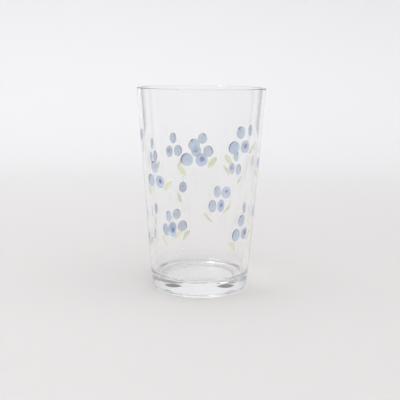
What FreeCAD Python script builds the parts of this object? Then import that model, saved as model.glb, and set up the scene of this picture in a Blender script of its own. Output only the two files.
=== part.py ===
"""A tapered pint tumbler of clear pressed glass with a fired enamel print of berry sprigs on its outer wall.

Millimetres, +Z up, origin at the centre of the foot. Azimuth 0 faces -Y and grows towards +X.
"""

import FreeCAD, Part
import math
import operator
import os

import Sketcher

SIZES = {
    "rim_diameter": 86.0,  # outside
    "base_diameter": 66.0,  # outside, where the taper would meet the table
    "height": 136.0,
    "lip_wall": 2.6,  # wall thickness at the rim
    "foot_wall": 3.4,  # wall thickness beside the inner floor
    "floor_height": 9.2,  # solid glass under the drink
    "corner_radius": 4.5,  # inner floor to inner wall
    "heel_radius": 2.2,  # outer wall to foot
    "lip_radius": 0.6,
    "foot_width": 6.0,  # flat ring that rests on the table
    "recess_height": 0.5,  # rise of the flat underside inside the foot ring
    "recess_slope": 1.8,  # width of the sloping step up to it
    "recess_edge_radius": 3.0,
    "enamel_thickness": 0.06,
    "berry_width": 8.0,
    "berry_height": 8.2,
    "berry_spacing": 9.2,  # between the two lower berries
    "berry_rise": 9.3,  # top berry above the lower pair
    "calyx_diameter": 3.0,
    "shade_width": 1.1,  # dark crescent on the edge of the left berry
    "crown_diameter": 2.0,  # dark tick on the top berry
    "bud_width": 6.6,
    "bud_height": 8.0,
    "leaf_length": 9.0,
    "leaf_width": 3.4,
    "bud_leaf_width": 2.6,
    "stem_width": 0.5,
    "stem_length": 8.0,
    "cutter_length": 16.0,  # the outlines reach this far through the wall
}

# Azimuth in degrees, height of the two lower berries, how narrow it is drawn, and if it has a top berry
# and a leaf at its side.
SPRIGS = [
    (-6.0, 92.9, 1.0, True, True),
    (37.7, 100.1, 1.0, True, True),
    (16.2, 63.0, 0.62, True, True),
    (47.5, 41.8, 0.9, True, True),
    (-49.2, 76.8, 1.0, True, True),
    (-33.0, 45.5, 0.6, True, True),
    (-147.8, 89.1, 0.85, True, False),
    (178.4, 88.4, 1.0, True, False),
    (136.2, 77.2, 0.75, True, True),
    (-149.3, 33.7, 1.0, True, True),
    (-112.0, 87.0, 0.8, True, True),
    (90.0, 86.3, 0.9, True, True),
    (-91.0, 34.0, 0.9, False, True),
]

# Azimuth in degrees and height of each single berry, and if it has a stem and a leaf.
BUDS = [
    (-158.6, 62.4, True),
    (-109.7, 50.6, True),
    (-91.0, 51.0, False),
    (-80.0, 105.0, True),
    (25.3, 71.6, False),
    (84.0, 53.6, True),
    (110.3, 51.7, True),
    (114.3, 106.0, False),
]

# Places on a sprig or bud: across and up in mm from its middle, then turn in degrees.
LOW_LEAF = (-8.0, -7.2, -50.0)
SIDE_LEAF = (11.6, -1.7, 50.0)
BUD_LEAF = (3.0, -7.6, 70.0)
CALYX = (0.4, 0.5)  # from the middle of the right berry
CROWN = (-1.6, 3.4)  # from the middle of the top berry
SHADE = (0.8, -0.6)  # direction in which the crescent's inner edge is set off
STEM_LEAN = -0.8

SEAM_AZIMUTH = 72.0  # the print leaves this line free, so the seam of the cones lies on it
UPRIGHT = 90.0

doc = FreeCAD.newDocument("PintTumbler")


def make_sheet():
    sheet = doc.addObject("Spreadsheet::Sheet", "Sizes")
    for row, (alias, value) in enumerate(SIZES.items(), start=1):
        sheet.set(f"A{row}", alias)
        sheet.set(f"B{row}", str(value))
        sheet.setAlias(f"B{row}", alias)
    doc.recompute()


class Size:
    """A length that keeps its number together with the expression over the sheet that gives it."""

    def __init__(self, number, expression):
        self.number = number
        self.expression = expression

    def combined(self, sign, other, calculate):
        if not isinstance(other, Size):
            other = Size(other, str(other))
        number = calculate(self.number, other.number)
        return Size(number, f"({self.expression} {sign} {other.expression})")

    def __add__(self, other):
        return self.combined("+", other, operator.add)

    def __sub__(self, other):
        return self.combined("-", other, operator.sub)

    def __mul__(self, other):
        return self.combined("*", other, operator.mul)

    def __truediv__(self, other):
        return self.combined("/", other, operator.truediv)


def size(alias):
    """A dimension as the sheet holds it."""
    return Size(float(doc.Sizes.get(alias)), f"Sizes.{alias}")


def bind(item, **sizes):
    for name, value in sizes.items():
        item.setExpression(name, value.expression)
    return item


make_sheet()
ON_AXIS = Size(0.0, "0")
HEIGHT = size("height")
FLOOR = size("floor_height")
RECESS = size("recess_height")
RIM = size("rim_diameter") / 2
BASE = size("base_diameter") / 2
INNER_RIM = RIM - size("lip_wall")
INNER_FLOOR = BASE + (RIM - BASE) * FLOOR / HEIGHT - size("foot_wall")
FOOT_INSIDE = BASE - size("heel_radius") - size("foot_width")
RECESS_INSIDE = FOOT_INSIDE - size("recess_slope")
LEAF_HALF = size("leaf_length") / 2
CUTTER = size("cutter_length")


# The tumbler's body: a cone with two grooves and four fillets.


def new_sketch(body, name):
    """A sketch on the body's own XZ plane, so that its V axis is the tumbler's axis."""
    plane = next(o for o in body.Origin.OriginFeatures if o.Role == "XZ_Plane")
    sketch = body.newObject("Sketcher::SketchObject", name)
    sketch.AttachmentSupport = [(plane, "")]
    sketch.MapMode = "FlatFace"
    return sketch


def pin(sketch, line, across, up):
    """Holds the start of a line at this distance from each of the sketch's axes."""
    for kind, distance, axis in (("DistanceX", across, -2), ("DistanceY", up, -1)):
        if distance is ON_AXIS:
            sketch.addConstraint(Sketcher.Constraint("PointOnObject", line, 1, axis))
        else:
            rule = Sketcher.Constraint(kind, -1, 1, line, 1, distance.number)
            index = sketch.addConstraint(rule)
            sketch.setExpression(f"Constraints[{index}]", distance.expression)


def add_outline(body, name, corners):
    """A closed outline of straight lines between these corners."""
    sketch = new_sketch(body, name)
    places = [FreeCAD.Vector(across.number, up.number, 0) for across, up in corners]
    following = places[1:] + places[:1]
    for start, end in zip(places, following):
        sketch.addGeometry(Part.LineSegment(start, end))
    for line in range(len(places)):
        sketch.addConstraint(Sketcher.Constraint("Coincident", line, 2, (line + 1) % len(places), 1))
        pin(sketch, line, *corners[line])
    return sketch


def turn_profile(body, kind, name, sketch):
    feature = body.newObject(f"PartDesign::{kind}", name)
    feature.Profile = sketch
    feature.ReferenceAxis = (sketch, ["V_Axis"])
    feature.Angle = 360
    doc.recompute()
    return feature


def ring_edge(shape, radius, height):
    """The name of the circular edge nearest to this radius and height."""

    def distance(edge):
        if edge.Degenerated or not isinstance(edge.Curve, Part.Circle):
            return math.inf
        return abs(edge.Curve.Radius - radius.number) + abs(edge.Curve.Center.z - height.number)

    nearest = min(range(len(shape.Edges)), key=lambda i: distance(shape.Edges[i]))
    return f"Edge{nearest + 1}"


def round_off(body, base, name, radius, *rings):
    fillet = body.newObject("PartDesign::Fillet", name)
    fillet.Base = (base, [ring_edge(base.Shape, across, up) for across, up in rings])
    bind(fillet, Radius=size(radius))
    doc.recompute()
    return fillet


def make_glass():
    body = doc.addObject("PartDesign::Body", "GlassTumbler")
    body.Label = "glass_tumbler"
    blank = [(ON_AXIS, ON_AXIS), (BASE, ON_AXIS), (RIM, HEIGHT), (ON_AXIS, HEIGHT)]
    cavity = [(ON_AXIS, FLOOR), (INNER_FLOOR, FLOOR), (INNER_RIM, HEIGHT), (ON_AXIS, HEIGHT)]
    underside = [(ON_AXIS, ON_AXIS), (FOOT_INSIDE, ON_AXIS), (RECESS_INSIDE, RECESS), (ON_AXIS, RECESS)]
    solid = turn_profile(body, "Revolution", "Blank", add_outline(body, "BlankOutline", blank))
    full = solid.Shape.Volume
    hollow = turn_profile(body, "Groove", "Cavity", add_outline(body, "CavityOutline", cavity))
    emptied = hollow.Shape.Volume
    raised = turn_profile(body, "Groove", "Recess", add_outline(body, "RecessOutline", underside))
    if not full > emptied > raised.Shape.Volume:
        raise RuntimeError("a groove cut nothing")
    corner = round_off(body, raised, "Corner", "corner_radius", (INNER_FLOOR, FLOOR))
    heel = round_off(body, corner, "Heel", "heel_radius", (BASE, ON_AXIS))
    foot = round_off(body, heel, "RecessEdges", "recess_edge_radius", *underside[1:3])
    body.Tip = round_off(body, foot, "Lip", "lip_radius", (RIM, HEIGHT), (INNER_RIM, HEIGHT))
    doc.recompute()
    return body


# The print: outlines pushed through the wall, of which a thin conical layer is kept.


def add(kind, name, **values):
    item = doc.addObject(kind, name)
    for key, value in values.items():
        setattr(item, key, value)
    return item


def make_print_layer():
    """The whole wall covered with enamel, from which each patch is taken."""
    turned = FreeCAD.Placement(
        FreeCAD.Vector(0, 0, 0),
        FreeCAD.Rotation(FreeCAD.Vector(0, 0, 1), SEAM_AZIMUTH - 90),
    )
    inside = add("Part::Cone", "WallCone", Placement=turned)
    outside = add("Part::Cone", "EnamelCone", Placement=turned)
    thickness = size("enamel_thickness")
    bind(inside, Radius1=BASE, Radius2=RIM, Height=HEIGHT)
    bind(outside, Radius1=BASE + thickness, Radius2=RIM + thickness, Height=HEIGHT)
    return add("Part::Cut", "EnamelLayer", Base=outside, Tool=inside)


def on_wall(azimuth, height, across=0.0, up=0.0, turn=0.0):
    """A frame whose Z points out through the wall, X across it and Y up it, set back by half a cutter."""
    level = height + up
    radius = BASE.number + (RIM.number - BASE.number) * level / HEIGHT.number
    angle = math.radians(azimuth) + across / radius
    outward = FreeCAD.Vector(math.sin(angle), -math.cos(angle), 0)
    sideways = FreeCAD.Vector(math.cos(angle), math.sin(angle), 0)
    upward = FreeCAD.Vector(0, 0, 1)
    start = outward * (radius - CUTTER.number / 2) + upward * level
    facing = FreeCAD.Rotation(sideways, upward, outward, "ZXY")
    return FreeCAD.Placement(start, facing * FreeCAD.Rotation(FreeCAD.Vector(0, 0, 1), turn))


def disc(name, placement, width):
    item = add("Part::Cylinder", name, Placement=placement)
    return bind(item, Radius=width / 2, Height=CUTTER)


def oval(name, placement, width, height):
    """A prism that is oval across the wall, with its height along the placement's X axis."""
    outline = add("Part::Ellipse", f"{name}_outline", Placement=placement)
    bind(outline, MajorRadius=height / 2, MinorRadius=width / 2)
    outward = placement.Rotation.multVec(FreeCAD.Vector(0, 0, 1))
    prism = add("Part::Extrusion", name, Base=outline, DirMode="Custom", Dir=outward, Solid=True)
    return bind(prism, LengthFwd=CUTTER)


def leaf(name, frame, place, width, narrow=1.0):
    """A pointed oval: what two discs, set off to either side of the leaf's midrib, have in common."""
    across, up, turn = place
    half = width * narrow / 2
    diameter = LEAF_HALF * LEAF_HALF / half + half
    offset = (diameter / 2 - half).number
    placement = on_wall(*frame, across * narrow, up, turn)
    sides = []
    for side in (-1, 1):
        shifted = placement * FreeCAD.Placement(FreeCAD.Vector(0, side * offset, 0), FreeCAD.Rotation())
        sides.append(disc(f"{name}_side", shifted, diameter))
    return add("Part::Common", name, Base=sides[0], Tool=sides[1])


def stem(name, frame):
    """A fine line that rises from the top of a bud."""
    placement = on_wall(*frame, STEM_LEAN, size("bud_height").number / 2)
    item = add("Part::Box", name, Placement=placement)
    return bind(item, Length=size("stem_width"), Width=size("stem_length"), Height=CUTTER)


def joined(name, items):
    return items[0] if len(items) == 1 else add("Part::MultiFuse", name, Shapes=items)


def printed(node, outlines):
    """The enamel patch that these outlines leave on the wall."""
    patch = add("Part::Common", f"{node}_patch", Base=LAYER, Tool=joined(f"{node}_outlines", outlines))
    patch.Label = node
    return patch


def make_sprig(number, azimuth, height, narrow, has_top, has_side_leaf):
    """Two or three berries with their dark marks, and one or two leaves."""
    node = f"sprig_{number:02d}"
    frame = (azimuth, height)
    half = size("berry_spacing").number / 2 * narrow
    rise = size("berry_rise").number
    crescent = size("shade_width").number
    dot_width = size("calyx_diameter")
    leaf_width = size("leaf_width")

    def berry(name, across, up):
        place = on_wall(*frame, across, up, UPRIGHT)
        return oval(f"{node}_{name}", place, size("berry_width") * narrow, size("berry_height"))

    left = berry("left", -half, 0)
    right = berry("right", half, 0)
    berries = [left, right]
    across, up = SHADE
    lit = berry("lit", across * crescent * narrow - half, up * crescent)
    shade = add("Part::Cut", f"{node}_shade", Base=berry("shaded", -half, 0), Tool=lit)
    across, up = CALYX
    centre = on_wall(*frame, half + across * narrow, up, UPRIGHT)
    calyx = oval(f"{node}_calyx", centre, dot_width * narrow, dot_width)
    marks = [shade, calyx]
    if has_top:
        berries.append(berry("top", 0, rise))
        across, up = CROWN
        dot = disc(f"{node}_dot", on_wall(*frame, across * narrow, rise + up), size("crown_diameter"))
        marks.append(add("Part::Common", f"{node}_crown", Base=dot, Tool=berry("crowned", 0, rise)))
    leaves = [leaf(f"{node}_low_leaf", frame, LOW_LEAF, leaf_width, narrow)]
    if has_side_leaf:
        leaves.append(leaf(f"{node}_side_leaf", frame, SIDE_LEAF, leaf_width, narrow))
    dark = joined(f"{node}_dark", marks)
    blue = add("Part::Cut", f"{node}_blue", Base=joined(f"{node}_round", berries), Tool=dark)
    return [
        printed(f"{node}_berries", [blue]),
        printed(f"{node}_marks", [dark]),
        printed(f"{node}_leaves", leaves),
    ]


def make_bud(number, azimuth, height, has_stem):
    """A single berry, most with a stem above and a slim leaf below."""
    node = f"bud_{number:02d}"
    frame = (azimuth, height)
    centre = on_wall(*frame, 0, 0, UPRIGHT)
    berry = oval(f"{node}_round", centre, size("bud_width"), size("bud_height"))
    nodes = [printed(f"{node}_berry", [berry])]
    if has_stem:
        green = [stem(f"{node}_stem", frame), leaf(f"{node}_leaf", frame, BUD_LEAF, size("bud_leaf_width"))]
        nodes.append(printed(f"{node}_stem_and_leaf", green))
    return nodes


def check(nodes):
    failed = [o.Label for o in doc.Objects if {"Invalid", "Error"} & set(o.State)]
    failed += [n.Label for n in nodes if n.Shape.isNull() or not n.Shape.isValid() or not n.Shape.Solids]
    if failed:
        raise RuntimeError(f"not sound: {failed}")


def export(nodes):
    os.makedirs("parts", exist_ok=True)
    for node in nodes:
        node.Shape.exportStep(f"parts/{node.Label}.step")
        print(f"{node.Label}: {len(node.Shape.Solids)} solids, {node.Shape.Volume:.3f} mm3")


tumbler = make_glass()
LAYER = make_print_layer()
enamel = [node for i, sprig in enumerate(SPRIGS, start=1) for node in make_sprig(i, *sprig)]
enamel += [node for i, bud in enumerate(BUDS, start=1) for node in make_bud(i, *bud)]
doc.recompute()
check([tumbler, *enamel])
export([tumbler, *enamel])
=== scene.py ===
import math
from collections import namedtuple

import bmesh
import bpy
import numpy as np
from mathutils import Matrix, Vector


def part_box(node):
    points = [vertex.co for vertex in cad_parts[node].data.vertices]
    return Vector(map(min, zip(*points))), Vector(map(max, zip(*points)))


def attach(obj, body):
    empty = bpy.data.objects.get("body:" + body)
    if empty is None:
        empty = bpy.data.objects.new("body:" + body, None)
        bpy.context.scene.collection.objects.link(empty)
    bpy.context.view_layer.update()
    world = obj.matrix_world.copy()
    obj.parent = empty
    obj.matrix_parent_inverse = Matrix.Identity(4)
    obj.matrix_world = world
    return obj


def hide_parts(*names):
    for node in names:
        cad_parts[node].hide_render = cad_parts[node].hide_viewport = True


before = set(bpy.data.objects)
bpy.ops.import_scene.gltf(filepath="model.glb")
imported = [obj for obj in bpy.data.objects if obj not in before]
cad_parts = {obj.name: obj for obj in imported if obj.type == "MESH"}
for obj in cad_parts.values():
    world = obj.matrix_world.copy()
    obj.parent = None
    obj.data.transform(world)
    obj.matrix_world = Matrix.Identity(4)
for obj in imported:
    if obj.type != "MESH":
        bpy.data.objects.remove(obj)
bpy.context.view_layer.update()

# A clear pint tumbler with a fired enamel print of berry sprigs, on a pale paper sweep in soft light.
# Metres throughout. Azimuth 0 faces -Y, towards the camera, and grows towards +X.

MM = 0.001

# ---------------------------------------------------------------- the tumbler's own measures

low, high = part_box("glass_tumbler")
HEIGHT = high.z
RIM = min(high.x, high.y, -low.x, -low.y)
TAPER = 10 * MM / HEIGHT  # the outside radius grows this much per metre of height
LIP_WALL = 2.6 * MM
FOOT_WALL = 3.4 * MM
FLOOR = 9.2 * MM
CORNER = 4.5 * MM
HEEL = 2.2 * MM
LIP = 0.6 * MM
FOOT_RING = 6.0 * MM
RECESS = 0.5 * MM  # rise of the flat underside inside the foot ring
RECESS_SLOPE = 1.8 * MM  # width of the rounded step up to it
ROUND = 384  # facets round the glass


def wall_radius(height):
    """The outside of the glass."""
    return RIM - TAPER * (HEIGHT - height)


def bore_radius(height):
    """The inside of the glass, above its rounded floor."""
    share = (height - FLOOR) / (HEIGHT - FLOOR)
    return wall_radius(height) - FOOT_WALL - (LIP_WALL - FOOT_WALL) * share


# ---------------------------------------------------------------- small helpers


def new_object(name, mesh):
    piece = bpy.data.objects.new(name, mesh)
    bpy.context.scene.collection.objects.link(piece)
    return piece


def arc(centre, radius, start, end, steps):
    """Points (radius, height) of an arc, its angles in degrees from the outward direction."""
    angles = np.radians(np.linspace(start, end, steps + 1))
    return [(centre[0] + radius * math.cos(a), centre[1] + radius * math.sin(a)) for a in angles]


def straight(start, end, steps):
    """Points between two ends, without the ends."""
    shares = np.linspace(0, 1, steps + 1)[1:-1]
    return [(start[0] + (end[0] - start[0]) * s, start[1] + (end[1] - start[1]) * s) for s in shares]


# ---------------------------------------------------------------- materials


def new_material(name):
    material = bpy.data.materials.new(name)
    material.use_nodes = True
    return material, material.node_tree, material.node_tree.nodes["Principled BSDF"]


LAMP_LIGHT_LET_THROUGH = 0.925  # at each surface of the glass, so that its shadow isn't black
INK_COVER = 0.45  # opacity of each face of an enamel patch
INK_GRAIN = 420  # how fine the unevenness of the ink is
MARK_GRAIN = 600
INK_UNEVENNESS = 0.14


def clear_glass():
    material, tree, shader = new_material("clear_glass")
    shader.inputs["Base Color"].default_value = (0.996, 0.999, 0.998, 1)
    shader.inputs["Roughness"].default_value = 0.0
    shader.inputs["IOR"].default_value = 1.52
    shader.inputs["Transmission Weight"].default_value = 1.0
    lamp_ray = tree.nodes.new("ShaderNodeLightPath")
    clear = tree.nodes.new("ShaderNodeBsdfTransparent")
    clear.inputs["Color"].default_value = (*[LAMP_LIGHT_LET_THROUGH] * 3, 1)
    choice = tree.nodes.new("ShaderNodeMixShader")
    tree.links.new(lamp_ray.outputs["Is Shadow Ray"], choice.inputs["Fac"])
    tree.links.new(shader.outputs["BSDF"], choice.inputs[1])
    tree.links.new(clear.outputs["BSDF"], choice.inputs[2])
    tree.links.new(choice.outputs["Shader"], tree.nodes["Material Output"].inputs["Surface"])
    return material


def enamel(name, light, deep, second=None, grain=INK_GRAIN):
    """Fired ink. The mesh's ink attribute holds depth of tone (x) and the share of the second hue (y)."""
    material, tree, shader = new_material(name)
    nodes, links = tree.nodes, tree.links
    ink = nodes.new("ShaderNodeAttribute")
    ink.attribute_name = "ink"
    parts = nodes.new("ShaderNodeSeparateXYZ")
    links.new(ink.outputs["Vector"], parts.inputs["Vector"])
    where = nodes.new("ShaderNodeTexCoord")
    wash = nodes.new("ShaderNodeTexNoise")
    wash.inputs["Scale"].default_value = grain
    wash.inputs["Detail"].default_value = 4.0
    links.new(where.outputs["Object"], wash.inputs["Vector"])
    uneven = nodes.new("ShaderNodeMapRange")
    uneven.inputs["From Min"].default_value = 0.3
    uneven.inputs["From Max"].default_value = 0.7
    uneven.inputs["To Min"].default_value = -INK_UNEVENNESS
    uneven.inputs["To Max"].default_value = INK_UNEVENNESS
    links.new(wash.outputs["Fac"], uneven.inputs["Value"])
    depth = nodes.new("ShaderNodeMath")
    depth.operation = "ADD"
    depth.use_clamp = True
    links.new(parts.outputs["X"], depth.inputs[0])
    links.new(uneven.outputs["Result"], depth.inputs[1])
    hue = nodes.new("ShaderNodeMix")
    hue.data_type = "RGBA"
    hue.inputs["A"].default_value = (*light, 1)
    hue.inputs["B"].default_value = (*(second or light), 1)
    links.new(parts.outputs["Y"], hue.inputs["Factor"])
    tone = nodes.new("ShaderNodeMix")
    tone.data_type = "RGBA"
    tone.inputs["B"].default_value = (*deep, 1)
    links.new(hue.outputs["Result"], tone.inputs["A"])
    links.new(depth.outputs["Value"], tone.inputs["Factor"])
    links.new(tone.outputs["Result"], shader.inputs["Base Color"])
    shader.inputs["Roughness"].default_value = 0.38
    shader.inputs["IOR"].default_value = 1.5
    shader.inputs["Alpha"].default_value = INK_COVER
    return material


# Painted shade: the paper on the table gets a darker, warmer colour than the paper on the wall, in place of
# the light that falls less on it.
SHADED_TABLE_PAPER = (0.632, 0.617, 0.602)
WALL_PAPER = (0.785, 0.788, 0.792)
PAINTED_SHADE_FADE = (0.05, 1.0)  # distances behind the glass between which one becomes the other


def paper():
    """Painted shade: the paper is coloured warmer and darker on the table than on the wall behind, in place
    of the weaker light on the table.
    """
    material, tree, shader = new_material("paper")
    where = tree.nodes.new("ShaderNodeTexCoord")
    axes = tree.nodes.new("ShaderNodeSeparateXYZ")
    ramp = tree.nodes.new("ShaderNodeMapRange")
    blend = tree.nodes.new("ShaderNodeMix")
    blend.data_type = "RGBA"
    blend.inputs["A"].default_value = (*SHADED_TABLE_PAPER, 1)
    blend.inputs["B"].default_value = (*WALL_PAPER, 1)
    ramp.interpolation_type = "SMOOTHSTEP"
    ramp.inputs["From Min"].default_value = PAINTED_SHADE_FADE[0]
    ramp.inputs["From Max"].default_value = PAINTED_SHADE_FADE[1]
    tree.links.new(where.outputs["Object"], axes.inputs["Vector"])
    tree.links.new(axes.outputs["Y"], ramp.inputs["Value"])
    tree.links.new(ramp.outputs["Result"], blend.inputs["Factor"])
    tree.links.new(blend.outputs["Result"], shader.inputs["Base Color"])
    shader.inputs["Roughness"].default_value = 0.9
    shader.inputs["Specular IOR Level"].default_value = 0.1
    return material


GLASS = clear_glass()
BLUE = enamel("blue_enamel", (0.60, 0.71, 0.90), (0.36, 0.46, 0.72), (0.58, 0.74, 0.80))
VIOLET = enamel("violet_enamel", (0.46, 0.54, 0.80), (0.18, 0.22, 0.50), (0.66, 0.76, 0.96))
DARK = enamel("dark_blue_enamel", (0.22, 0.32, 0.68), (0.06, 0.10, 0.34), grain=MARK_GRAIN)
GREEN = enamel("green_enamel", (0.94, 1.0, 0.70), (0.82, 0.92, 0.52), (0.86, 0.88, 0.64))


# ---------------------------------------------------------------- the glass


def glass_outline():
    """The section of the tumbler: from the middle of its underside, up the outside, down the inside."""
    foot_out = wall_radius(0) - HEEL
    foot_in = foot_out - FOOT_RING
    lean = math.degrees(math.atan(TAPER))
    points = [(0.0, RECESS)]
    points += straight((0.0, RECESS), (foot_in - RECESS_SLOPE, RECESS), 12)
    for share in np.linspace(0, 1, 17):
        drop = (1 + math.cos(math.pi * share)) / 2
        points.append((foot_in - RECESS_SLOPE * (1 - share), RECESS * drop))
    points.append((foot_out, 0.0))
    heel_centre = (wall_radius(HEEL) - HEEL / math.cos(math.radians(lean)), HEEL)
    heel = arc(heel_centre, HEEL, -90, -lean, 16)
    lip_centre = (wall_radius(HEIGHT - LIP) - LIP / math.cos(math.radians(lean)), HEIGHT - LIP)
    lip = arc(lip_centre, LIP, -lean, 90, 12)
    inner_lip_centre = (bore_radius(HEIGHT - LIP) + LIP, HEIGHT - LIP)
    inner_lip = arc(inner_lip_centre, LIP, 90, 180, 12)
    corner_centre = (bore_radius(FLOOR + CORNER) - CORNER, FLOOR + CORNER)
    corner = arc(corner_centre, CORNER, 0, -90, 24)
    points += heel
    points += straight(heel[-1], lip[0], 48)
    points += lip + inner_lip
    points += straight(inner_lip[-1], corner[0], 48)
    points += corner
    points += straight(corner[-1], (0.0, FLOOR), 12)
    points.append((0.0, FLOOR))
    return points


def turned(name, outline):
    """A closed mesh of revolution about Z."""
    mesh = bpy.data.meshes.new(name)
    shape = bmesh.new()
    rings = []
    for radius, height in outline:
        if radius < 1e-7:
            rings.append([shape.verts.new((0, 0, height))])
            continue
        turn = 2 * math.pi / ROUND
        ring = [(radius * math.cos(i * turn), radius * math.sin(i * turn), height) for i in range(ROUND)]
        rings.append([shape.verts.new(place) for place in ring])
    for below, above in zip(rings, rings[1:]):
        for i in range(ROUND):
            j = (i + 1) % ROUND
            low_side = [below[i % len(below)], below[j % len(below)]]
            high_side = [above[j % len(above)], above[i % len(above)]]
            shape.faces.new(list(dict.fromkeys(low_side + high_side)))
    bmesh.ops.recalc_face_normals(shape, faces=shape.faces)
    for face in shape.faces:
        face.smooth = True
    shape.to_mesh(mesh)
    shape.free()
    return mesh


tumbler = new_object("tumbler", turned("tumbler", glass_outline()))
tumbler.data.materials.append(GLASS)
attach(tumbler, "root")
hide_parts("glass_tumbler")

# ---------------------------------------------------------------- where the CAD model has each patch

Spot = namedtuple("Spot", "azimuth height across up length breadth tilt")


def loose_parts(node):
    """The vertices of each separate patch of a CAD node."""
    shape = bmesh.new()
    shape.from_mesh(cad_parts[node].data)
    bmesh.ops.remove_doubles(shape, verts=shape.verts, dist=1e-6)
    waiting = set(shape.verts)
    found = []
    while waiting:
        edge_of_part = [waiting.pop()]
        part = []
        while edge_of_part:
            vertex = edge_of_part.pop()
            part.append(tuple(vertex.co))
            for edge in vertex.link_edges:
                other = edge.other_vert(vertex)
                if other in waiting:
                    waiting.remove(other)
                    edge_of_part.append(other)
        found.append(np.array(part))
    shape.free()
    return found


def spot_of(part):
    """Where a patch lies on the wall, its extents across and up, and its length, breadth and tilt."""
    middle = part.mean(axis=0)
    facing = math.atan2(middle[0], -middle[1])
    angle = np.arctan2(part[:, 0], -part[:, 1]) - facing
    angle = (angle + math.pi) % (2 * math.pi) - math.pi
    radius = wall_radius(middle[2])
    flat = np.column_stack([angle * radius, part[:, 2]])
    lowest, highest = flat.min(axis=0), flat.max(axis=0)
    centre = (lowest + highest) / 2
    across, up = highest - lowest
    spread = np.linalg.eigh(np.cov((flat - centre).T))[1][:, 1]
    tilt = math.atan2(spread[1], spread[0])
    tilt = (tilt + math.pi / 2) % math.pi - math.pi / 2
    along = (flat - centre) @ np.array([math.cos(tilt), math.sin(tilt)])
    beside = (flat - centre) @ np.array([-math.sin(tilt), math.cos(tilt)])
    return Spot(facing + centre[0] / radius, centre[1], across, up, np.ptp(along), np.ptp(beside), tilt)


def spots(node):
    return sorted((spot_of(part) for part in loose_parts(node)), key=lambda spot: spot.height)


# ---------------------------------------------------------------- patches of enamel

PROUD = 0.045 * MM  # how far the ink stands out of the wall
SUNK = 0.02 * MM  # how far it is fused into the wall
TURN = np.linspace(0, 2 * math.pi, 72, endpoint=False)


class Patch:
    """Thin closed shells on the wall, gathered into one mesh."""

    def __init__(self):
        self.places = []
        self.faces = []
        self.inks = []

    def add(self, azimuth, height, rows, closed, ink):
        """Adds a shell. rows are curves of (across, up) points from the inner edge to the outer one, and
        ink(across, up) gives the two ink values there. A closed shell joins its last column to its first."""
        rows = np.array(rows)
        count, columns = rows.shape[:2]
        start = len(self.places)
        for side, edge_share in ((PROUD, 0.25), (-SUNK, 1.0)):
            for number, row in enumerate(rows):
                at_edge = number == count - 1
                lift = side * (edge_share if at_edge else 1.0)
                for across, up in row:
                    level = height + up
                    radius = wall_radius(level) + lift
                    angle = azimuth + across / wall_radius(height)
                    self.places.append((radius * math.sin(angle), -radius * math.cos(angle), level))
                    self.inks.append((*ink(across, up), 0.0))

        def vertex(side, row, column):
            return start + (side * count + row) * columns + column % columns

        steps = range(columns) if closed else range(columns - 1)
        for row in range(count - 1):
            for c in steps:
                square = [(row, c), (row, c + 1), (row + 1, c + 1), (row + 1, c)]
                front = [vertex(0, *corner) for corner in square]
                back = [vertex(1, *corner) for corner in (square[0], *square[:0:-1])]
                self.faces += [front, back]
        for row, order in ((0, 1), (count - 1, -1)):
            for c in steps:
                wall = [vertex(0, row, c), vertex(1, row, c), vertex(1, row, c + 1), vertex(0, row, c + 1)]
                self.faces.append(wall[::order])
        if not closed:
            for c, order in ((0, -1), (columns - 1, 1)):
                for row in range(count - 1):
                    end = [(0, row), (1, row), (1, row + 1), (0, row + 1)]
                    wall = [vertex(side, at_row, c) for side, at_row in end]
                    self.faces.append(wall[::order])

    def finish(self, name, node, slot, material):
        mesh = bpy.data.meshes.new(name)
        mesh.from_pydata(self.places, [], self.faces)
        inks = mesh.attributes.new("ink", "FLOAT_VECTOR", "POINT")
        inks.data.foreach_set("vector", np.array(self.inks, np.float32).ravel())
        shape = bmesh.new()
        shape.from_mesh(mesh)
        bmesh.ops.remove_doubles(shape, verts=shape.verts, dist=1e-7)
        bmesh.ops.recalc_face_normals(shape, faces=shape.faces)
        for face in shape.faces:
            face.smooth = True
        shape.to_mesh(mesh)
        shape.free()
        mesh.materials.append(material)
        piece = new_object(name, mesh)
        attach(piece, "root")
        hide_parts(node)


def wobble(seed, size):
    """A hand-drawn unevenness of a round outline, as a factor close to 1."""
    dice = np.random.default_rng(seed)
    factor = np.ones_like(TURN)
    for lobes in (2, 3, 5):
        swing = size / lobes * math.sqrt(2) * dice.uniform(-1, 1)
        factor += swing * np.cos(lobes * TURN + dice.uniform(0, 6.28))
    return factor


def rounded(width, height):
    """The distance from the middle to the edge of an oval, all the way round."""
    return 1 / np.hypot(np.cos(TURN) / (width / 2), np.sin(TURN) / (height / 2))


def points_at(distance, centre=(0, 0), turns=TURN):
    return np.column_stack([centre[0] + distance * np.cos(turns), centre[1] + distance * np.sin(turns)])


BANDS = (0.04, 0.3, 0.55, 0.75, 0.88, 0.96, 1.0)
FINE_BANDS = (0.04, 0.12, 0.2, 0.28, 0.36, 0.44, 0.55, 0.7, 0.85, 0.95, 1.0)


def between(inner, outer, shares):
    return [inner + (outer - inner) * share for share in shares]


def tone_across(width, height, angle, low_tone, high_tone, second):
    """Ink that deepens towards one side of a berry."""
    direction = (math.cos(math.radians(angle)), math.sin(math.radians(angle)))

    def ink(across, up):
        share = (across / width * direction[0] + up / height * direction[1]) + 0.5
        share = min(max(share, 0.0), 1.0)
        return low_tone + (high_tone - low_tone) * share**1.5, second

    return ink


def shadow_edge(edge, middle, reach, depth):
    """The inner limit of a dark mark that eats into a berry's edge around one direction."""
    away = (TURN - math.radians(middle) + math.pi) % (2 * math.pi) - math.pi
    bite = np.clip(1 - (away / math.radians(reach)) ** 2, 0, 1)
    return edge - depth * bite, bite


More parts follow.
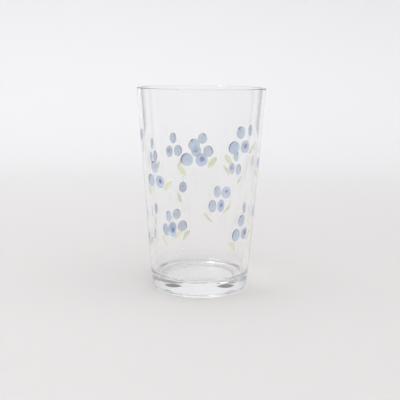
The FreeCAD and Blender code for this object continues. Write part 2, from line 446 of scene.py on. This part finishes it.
OUTLINE_WOBBLE = 0.05
BERRY_LIGHT, BERRY_DEEP = 0.1, 0.65  # tones of the two sides of a berry
DEEP_SIDE = 130  # direction of the deeper side, in degrees
CALYX_OFFSET = (0.05, 0.06)  # as shares of the berry's size
CALYX_SIZE = 0.42
EDGE_MARKS = {"shade": (150, 75, 0.13), "crown": (118, 24, 0.17)}  # direction, reach and depth


def add_berry(body, marks, place, width, height, seed, mark, second, strength):
    """A berry with one of three marks: shade, crown or calyx."""
    edge = rounded(width, height) * wobble(seed, OUTLINE_WOBBLE)
    ink = tone_across(width, height, DEEP_SIDE, BERRY_LIGHT * strength, BERRY_DEEP * strength, second)
    azimuth, level = place
    if mark == "calyx":
        centre = (CALYX_OFFSET[0] * width, CALYX_OFFSET[1] * height)
        calyx = rounded(CALYX_SIZE * width, CALYX_SIZE * height) * wobble(seed + 1, 0.12)
        inner = points_at(calyx, centre)
        outer = points_at(edge)
        rows = between(inner, outer, (0, 0.15, 0.4, 0.65, 0.85, 0.95, 1))
        body.add(azimuth, level, rows, True, ink)
        rows = [centre + (inner - centre) * share for share in (0.04, 0.4, 0.7, 0.9, 1)]

        def centre_ink(across, up):
            off = math.hypot(across - centre[0], up - centre[1]) / (CALYX_SIZE / 2 * width)
            return 1.0 - 0.8 * min(off, 1.0) ** 2, 0.0

        marks.add(azimuth, level, rows, True, centre_ink)
        return
    middle, reach, depth = EDGE_MARKS[mark]
    limit, bite = shadow_edge(edge, middle, reach, depth * width)
    body.add(azimuth, level, [points_at(limit * share) for share in BANDS], True, ink)
    inside = np.flatnonzero(bite > 0)
    order = inside if inside[0] > 0 else np.roll(inside, -np.argmax(np.diff(inside)) - 1)
    distances = between(limit, edge, (0, 0.5, 0.85, 1))
    rows = [points_at(distance[order], turns=TURN[order]) for distance in distances]
    marks.add(azimuth, level, rows, False, tone_across(width, height, middle, 0.3, 1.0, 0.0))


def add_leaf(patch, spot, seed, second):
    """A pointed oval, its ink deepening from one end to the other."""
    dice = np.random.default_rng(seed)
    bend = dice.uniform(-0.08, 0.08) * spot.length
    stations = np.linspace(-1, 1, 25)
    half = spot.breadth / 2 * (1 - stations**2) ** 0.8 * (1 - 0.25 * stations)
    half = np.maximum(half, 0.03 * MM)
    along = stations * spot.length / 2
    spine = bend * (1 - stations**2)
    turn = np.array([[math.cos(spot.tilt), math.sin(spot.tilt)], [-math.sin(spot.tilt), math.cos(spot.tilt)]])
    shares = (-1, -0.92, -0.6, -0.2, 0.0, 0.2, 0.6, 0.92, 1)
    rows = [np.column_stack([along, spine + half * share]) @ turn for share in shares]

    def ink(across, up):
        share = (across * math.cos(spot.tilt) + up * math.sin(spot.tilt)) / spot.length + 0.5
        return 0.15 + 0.5 * share, second

    patch.add(spot.azimuth, spot.height, rows, False, ink)


def add_stem(patch, spot):
    """A fine line that thins towards its tip and leans a little."""
    stations = np.linspace(-0.5, 0.5, 13)
    lean = 0.06 * spot.up * np.cos(stations * math.pi)
    half = spot.across / 2 * (1 - 0.5 * (stations + 0.5))
    rows = [np.column_stack([lean + half * share, stations * spot.up]) for share in (-1, -0.5, 0, 0.5, 1)]
    patch.add(spot.azimuth, spot.height, rows, False, lambda across, up: (0.5, 1.0))


BACKLIT_SPRIG = 8  # painted light: inked paler than the others, in place of the light from behind that shows through this sprig at the back of the glass
BACKLIT_STRENGTH = 0.3
PALE_BUD = 5
PALE_BUD_PALENESS = 0.9
BUD_PALENESS = 0.1
BUD_CALYX_RADIUS = 0.2  # as a share of the berry's width
DICE_START = 100  # keeps a sprig's own draws apart from those of its outlines
OUTLINE_SEEDS = {"shade": 0, "calyx": 20, "crown": 40, "bud": 60}
SECOND_HUE = {"shade": (0, 0.8), "calyx": (0, 0.3), "crown": (0.2, 1)}  # least and most of it in a berry
CALYX_BERRY_WIDTH = 0.95  # as a share of the CAD patch's
TOP_BERRY_WIDTH = 0.9
TOP_BERRY_HEIGHT = 0.95


def add_sprig_berry(body, marks, place, width, height, number, mark, dice, strength):
    """One berry of a numbered sprig, with its outline and second hue drawn for that kind of mark."""
    seed = number + OUTLINE_SEEDS[mark]
    add_berry(body, marks, place, width, height, seed, mark, dice.uniform(*SECOND_HUE[mark]), strength)


def make_sprig(number):
    node = f"sprig_{number:02d}"
    found = spots(f"{node}_berries")
    left, right = sorted(found[:2], key=lambda spot: math.sin(spot.azimuth - found[0].azimuth))
    width, height = right.across, right.up
    body, marks, leaves = Patch(), Patch(), Patch()
    dice = np.random.default_rng(DICE_START + number)
    # The sprig at the back of the glass is inked paler, as painted light from behind.
    strength = BACKLIT_STRENGTH if number == BACKLIT_SPRIG else 1.0
    left_azimuth = left.azimuth + (left.across - width) / 2 / wall_radius(left.height)
    place = (left_azimuth, right.height)
    add_sprig_berry(body, marks, place, width, height, number, "shade", dice, strength)
    place = (right.azimuth, right.height)
    calyx_width = CALYX_BERRY_WIDTH * width
    add_sprig_berry(body, marks, place, calyx_width, height, number, "calyx", dice, strength)
    if len(found) > 2:
        top = found[2]
        place = (top.azimuth, top.height)
        width, height = TOP_BERRY_WIDTH * top.across, TOP_BERRY_HEIGHT * top.up
        add_sprig_berry(body, marks, place, width, height, number, "crown", dice, strength)
    for spot in spots(f"{node}_leaves"):
        add_leaf(leaves, spot, number, dice.uniform(0, 1))
    body.finish(f"{node}_berries_ink", f"{node}_berries", "blue_enamel", BLUE)
    marks.finish(f"{node}_marks_ink", f"{node}_marks", "dark_blue_enamel", DARK)
    leaves.finish(f"{node}_leaves_ink", f"{node}_leaves", "green_enamel", GREEN)


def add_bud_berry(body, berry, seed, paleness):
    """A small berry with its calyx only hinted at by a deeper tone."""
    width, height = berry.across, berry.up
    centre = (CALYX_OFFSET[0] * width, CALYX_OFFSET[1] * height)
    edge = rounded(width, height) * wobble(seed, OUTLINE_WOBBLE)

    def ink(across, up):
        off = math.hypot(across - centre[0], up - centre[1]) / (BUD_CALYX_RADIUS * width)
        rim = math.hypot(across / width, up / height) * 2
        return max(1.0 - 0.75 * off**2, (0.2 + 0.35 * rim**3) * (1 - paleness)), paleness

    body.add(berry.azimuth, berry.height, [points_at(edge * share) for share in FINE_BANDS], True, ink)


def make_bud(number):
    node = f"bud_{number:02d}"
    berry = spots(f"{node}_berry")[0]
    body = Patch()
    paleness = PALE_BUD_PALENESS if number == PALE_BUD else BUD_PALENESS
    add_bud_berry(body, berry, number + OUTLINE_SEEDS["bud"], paleness)
    body.finish(f"{node}_berry_ink", f"{node}_berry", "violet_enamel", VIOLET)
    if f"{node}_stem_and_leaf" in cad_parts:
        green = Patch()
        leaf, stem = spots(f"{node}_stem_and_leaf")
        add_leaf(green, leaf, number, 0.6)
        add_stem(green, stem)
        green.finish(f"{node}_stem_and_leaf_ink", f"{node}_stem_and_leaf", "green_enamel", GREEN)


sprigs = sum(name.startswith("sprig") and name.endswith("berries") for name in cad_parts)
buds = sum(name.startswith("bud") and name.endswith("berry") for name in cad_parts)
for number in range(1, sprigs + 1):
    make_sprig(number)
for number in range(1, buds + 1):
    make_bud(number)

# ---------------------------------------------------------------- paper sweep, light and camera

SWEEP_BACK = 1.0
SWEEP_BEND = 0.5
SWEEP_HALF = 3.0
SWEEP_TOP = 2.5
SWEEP_FRONT = -2.5
SCREEN_TOP = 1.0  # height of the paper screens that close the other three sides
TABLE_GAP = 0.1 * MM  # keeps the foot and the paper from sharing one plane


def paper_sweep():
    bend = np.radians(np.linspace(0, 90, 25))
    profile = [(SWEEP_FRONT, SCREEN_TOP), (SWEEP_FRONT, 0.0)]
    bend_start = SWEEP_BACK - SWEEP_BEND
    profile += [(bend_start + SWEEP_BEND * math.sin(a), SWEEP_BEND * (1 - math.cos(a))) for a in bend]
    profile.append((SWEEP_BACK, SWEEP_TOP))
    places = [(side, y, z - TABLE_GAP) for y, z in profile for side in (-SWEEP_HALF, SWEEP_HALF)]
    faces = [(2 * i, 2 * i + 1, 2 * i + 3, 2 * i + 2) for i in range(len(profile) - 1)]
    smooth = [i > 0 for i in range(len(faces))]
    for side in (-SWEEP_HALF, SWEEP_HALF):
        start = len(places)
        places += [(side, y, z) for y in (SWEEP_FRONT, SWEEP_BACK) for z in (-TABLE_GAP, SCREEN_TOP)]
        faces.append((start, start + 1, start + 3, start + 2))
        smooth.append(False)
    mesh = bpy.data.meshes.new("paper_sweep")
    mesh.from_pydata(places, [], faces)
    mesh.polygons.foreach_set("use_smooth", smooth)
    mesh.materials.append(paper())
    sweep = new_object("paper_sweep", mesh)


CARD_DISTANCE = 0.7
CARD_GREY = 0.25
# start and end are azimuths from straight behind the glass. fall is how far the top drops at both ends.
Card = namedtuple("Card", "start end bottom top fall")
CARDS = {
    "left_card": Card(-36.0, -13.0, 0.19, 0.231, 0.004),
    "right_card": Card(13.0, 36.0, 0.19, 0.231, 0.004),
    "left_wall_card": Card(-58.0, -44.0, 0.0, 0.16, 0.0),
    "right_wall_card": Card(44.0, 58.0, 0.0, 0.16, 0.0),
    "front_card": Card(60.0, 300.0, 0.4, 2.4, 0.0),
}


def dark_cards():
    """Grey cards round the glass, seen only in its reflections and refractions, that darken its edges."""
    material, tree, shader = new_material("dark_card")
    shader.inputs["Base Color"].default_value = (CARD_GREY, CARD_GREY, CARD_GREY, 1)
    shader.inputs["Roughness"].default_value = 0.9
    shares = np.linspace(-1, 1, 33)
    for name, card in CARDS.items():
        places = []
        for share in shares:
            azimuth = (card.start + card.end + (card.end - card.start) * share) / 2
            angle = math.radians(azimuth)
            x, y = CARD_DISTANCE * math.sin(angle), CARD_DISTANCE * math.cos(angle)
            places += [(x, y, card.bottom), (x, y, card.top - card.fall * share**2)]
        faces = [(2 * i, 2 * i + 1, 2 * i + 3, 2 * i + 2) for i in range(len(shares) - 1)]
        mesh = bpy.data.meshes.new(name)
        mesh.from_pydata(places, [], faces)
        mesh.materials.append(material)
        board = new_object(name, mesh)
        board.visible_camera = False
        board.visible_diffuse = False
        board.visible_shadow = False


KEY_PLACE = Vector((-0.5, -0.25, 1.3))
KEY_TARGET = Vector((0, 0, 0.05))
KEY_WIDTH = 0.35
KEY_POWER = 5.5


def key_light():
    lamp = bpy.data.lights.new("key", "AREA")
    lamp.shape = "SQUARE"
    lamp.size = KEY_WIDTH
    lamp.energy = KEY_POWER
    holder = bpy.data.objects.new("key", lamp)
    bpy.context.scene.collection.objects.link(holder)
    holder.location = KEY_PLACE
    holder.rotation_euler = (KEY_TARGET - KEY_PLACE).to_track_quat("-Z", "Y").to_euler()


SKY_BRIGHT = 1.37  # the upper part of the light tent
SKY_DIM = 0.3  # the room that shows below it


def soft_world():
    """A pale dome overhead that falls off to a dim band at the height of the table."""
    world = bpy.data.worlds.new("soft_world")
    world.use_nodes = True
    tree = world.node_tree
    sky = tree.nodes["Background"]
    sky.inputs["Color"].default_value = (0.97, 0.97, 1.0, 1)
    where = tree.nodes.new("ShaderNodeTexCoord")
    axes = tree.nodes.new("ShaderNodeSeparateXYZ")
    rise = tree.nodes.new("ShaderNodeMapRange")
    rise.interpolation_type = "SMOOTHSTEP"
    rise.inputs["From Min"].default_value = 0.05
    rise.inputs["From Max"].default_value = 0.6
    rise.inputs["To Min"].default_value = SKY_DIM
    rise.inputs["To Max"].default_value = SKY_BRIGHT
    tree.links.new(where.outputs["Generated"], axes.inputs["Vector"])
    tree.links.new(axes.outputs["Z"], rise.inputs["Value"])
    tree.links.new(rise.outputs["Result"], sky.inputs["Strength"])
    bpy.context.scene.world = world


CAMERA_BACK = 0.461
CAMERA_ASIDE = -0.0002
CAMERA_HEIGHT = 0.151
CAMERA_PITCH = 11.21
CAMERA_ROLL = 0.64
CAMERA_LENS = 61.6


def place_camera():
    data = bpy.data.cameras.new("camera")
    data.sensor_width = 36
    data.lens = CAMERA_LENS
    data.clip_start = 0.01
    camera = bpy.data.objects.new("camera", data)
    bpy.context.scene.collection.objects.link(camera)
    tilt = Matrix.Rotation(math.radians(90 - CAMERA_PITCH), 4, "X")
    roll = Matrix.Rotation(math.radians(CAMERA_ROLL), 4, "Z")
    camera.matrix_world = Matrix.Translation((CAMERA_ASIDE, -CAMERA_BACK, CAMERA_HEIGHT)) @ tilt @ roll
    bpy.context.scene.camera = camera


paper_sweep()
dark_cards()
key_light()
soft_world()
place_camera()

scene = bpy.context.scene
scene.view_settings.view_transform = "Standard"
scene.cycles.max_bounces = 48
scene.cycles.transmission_bounces = 48
scene.cycles.glossy_bounces = 24
scene.cycles.diffuse_bounces = 6
scene.cycles.transparent_max_bounces = 32
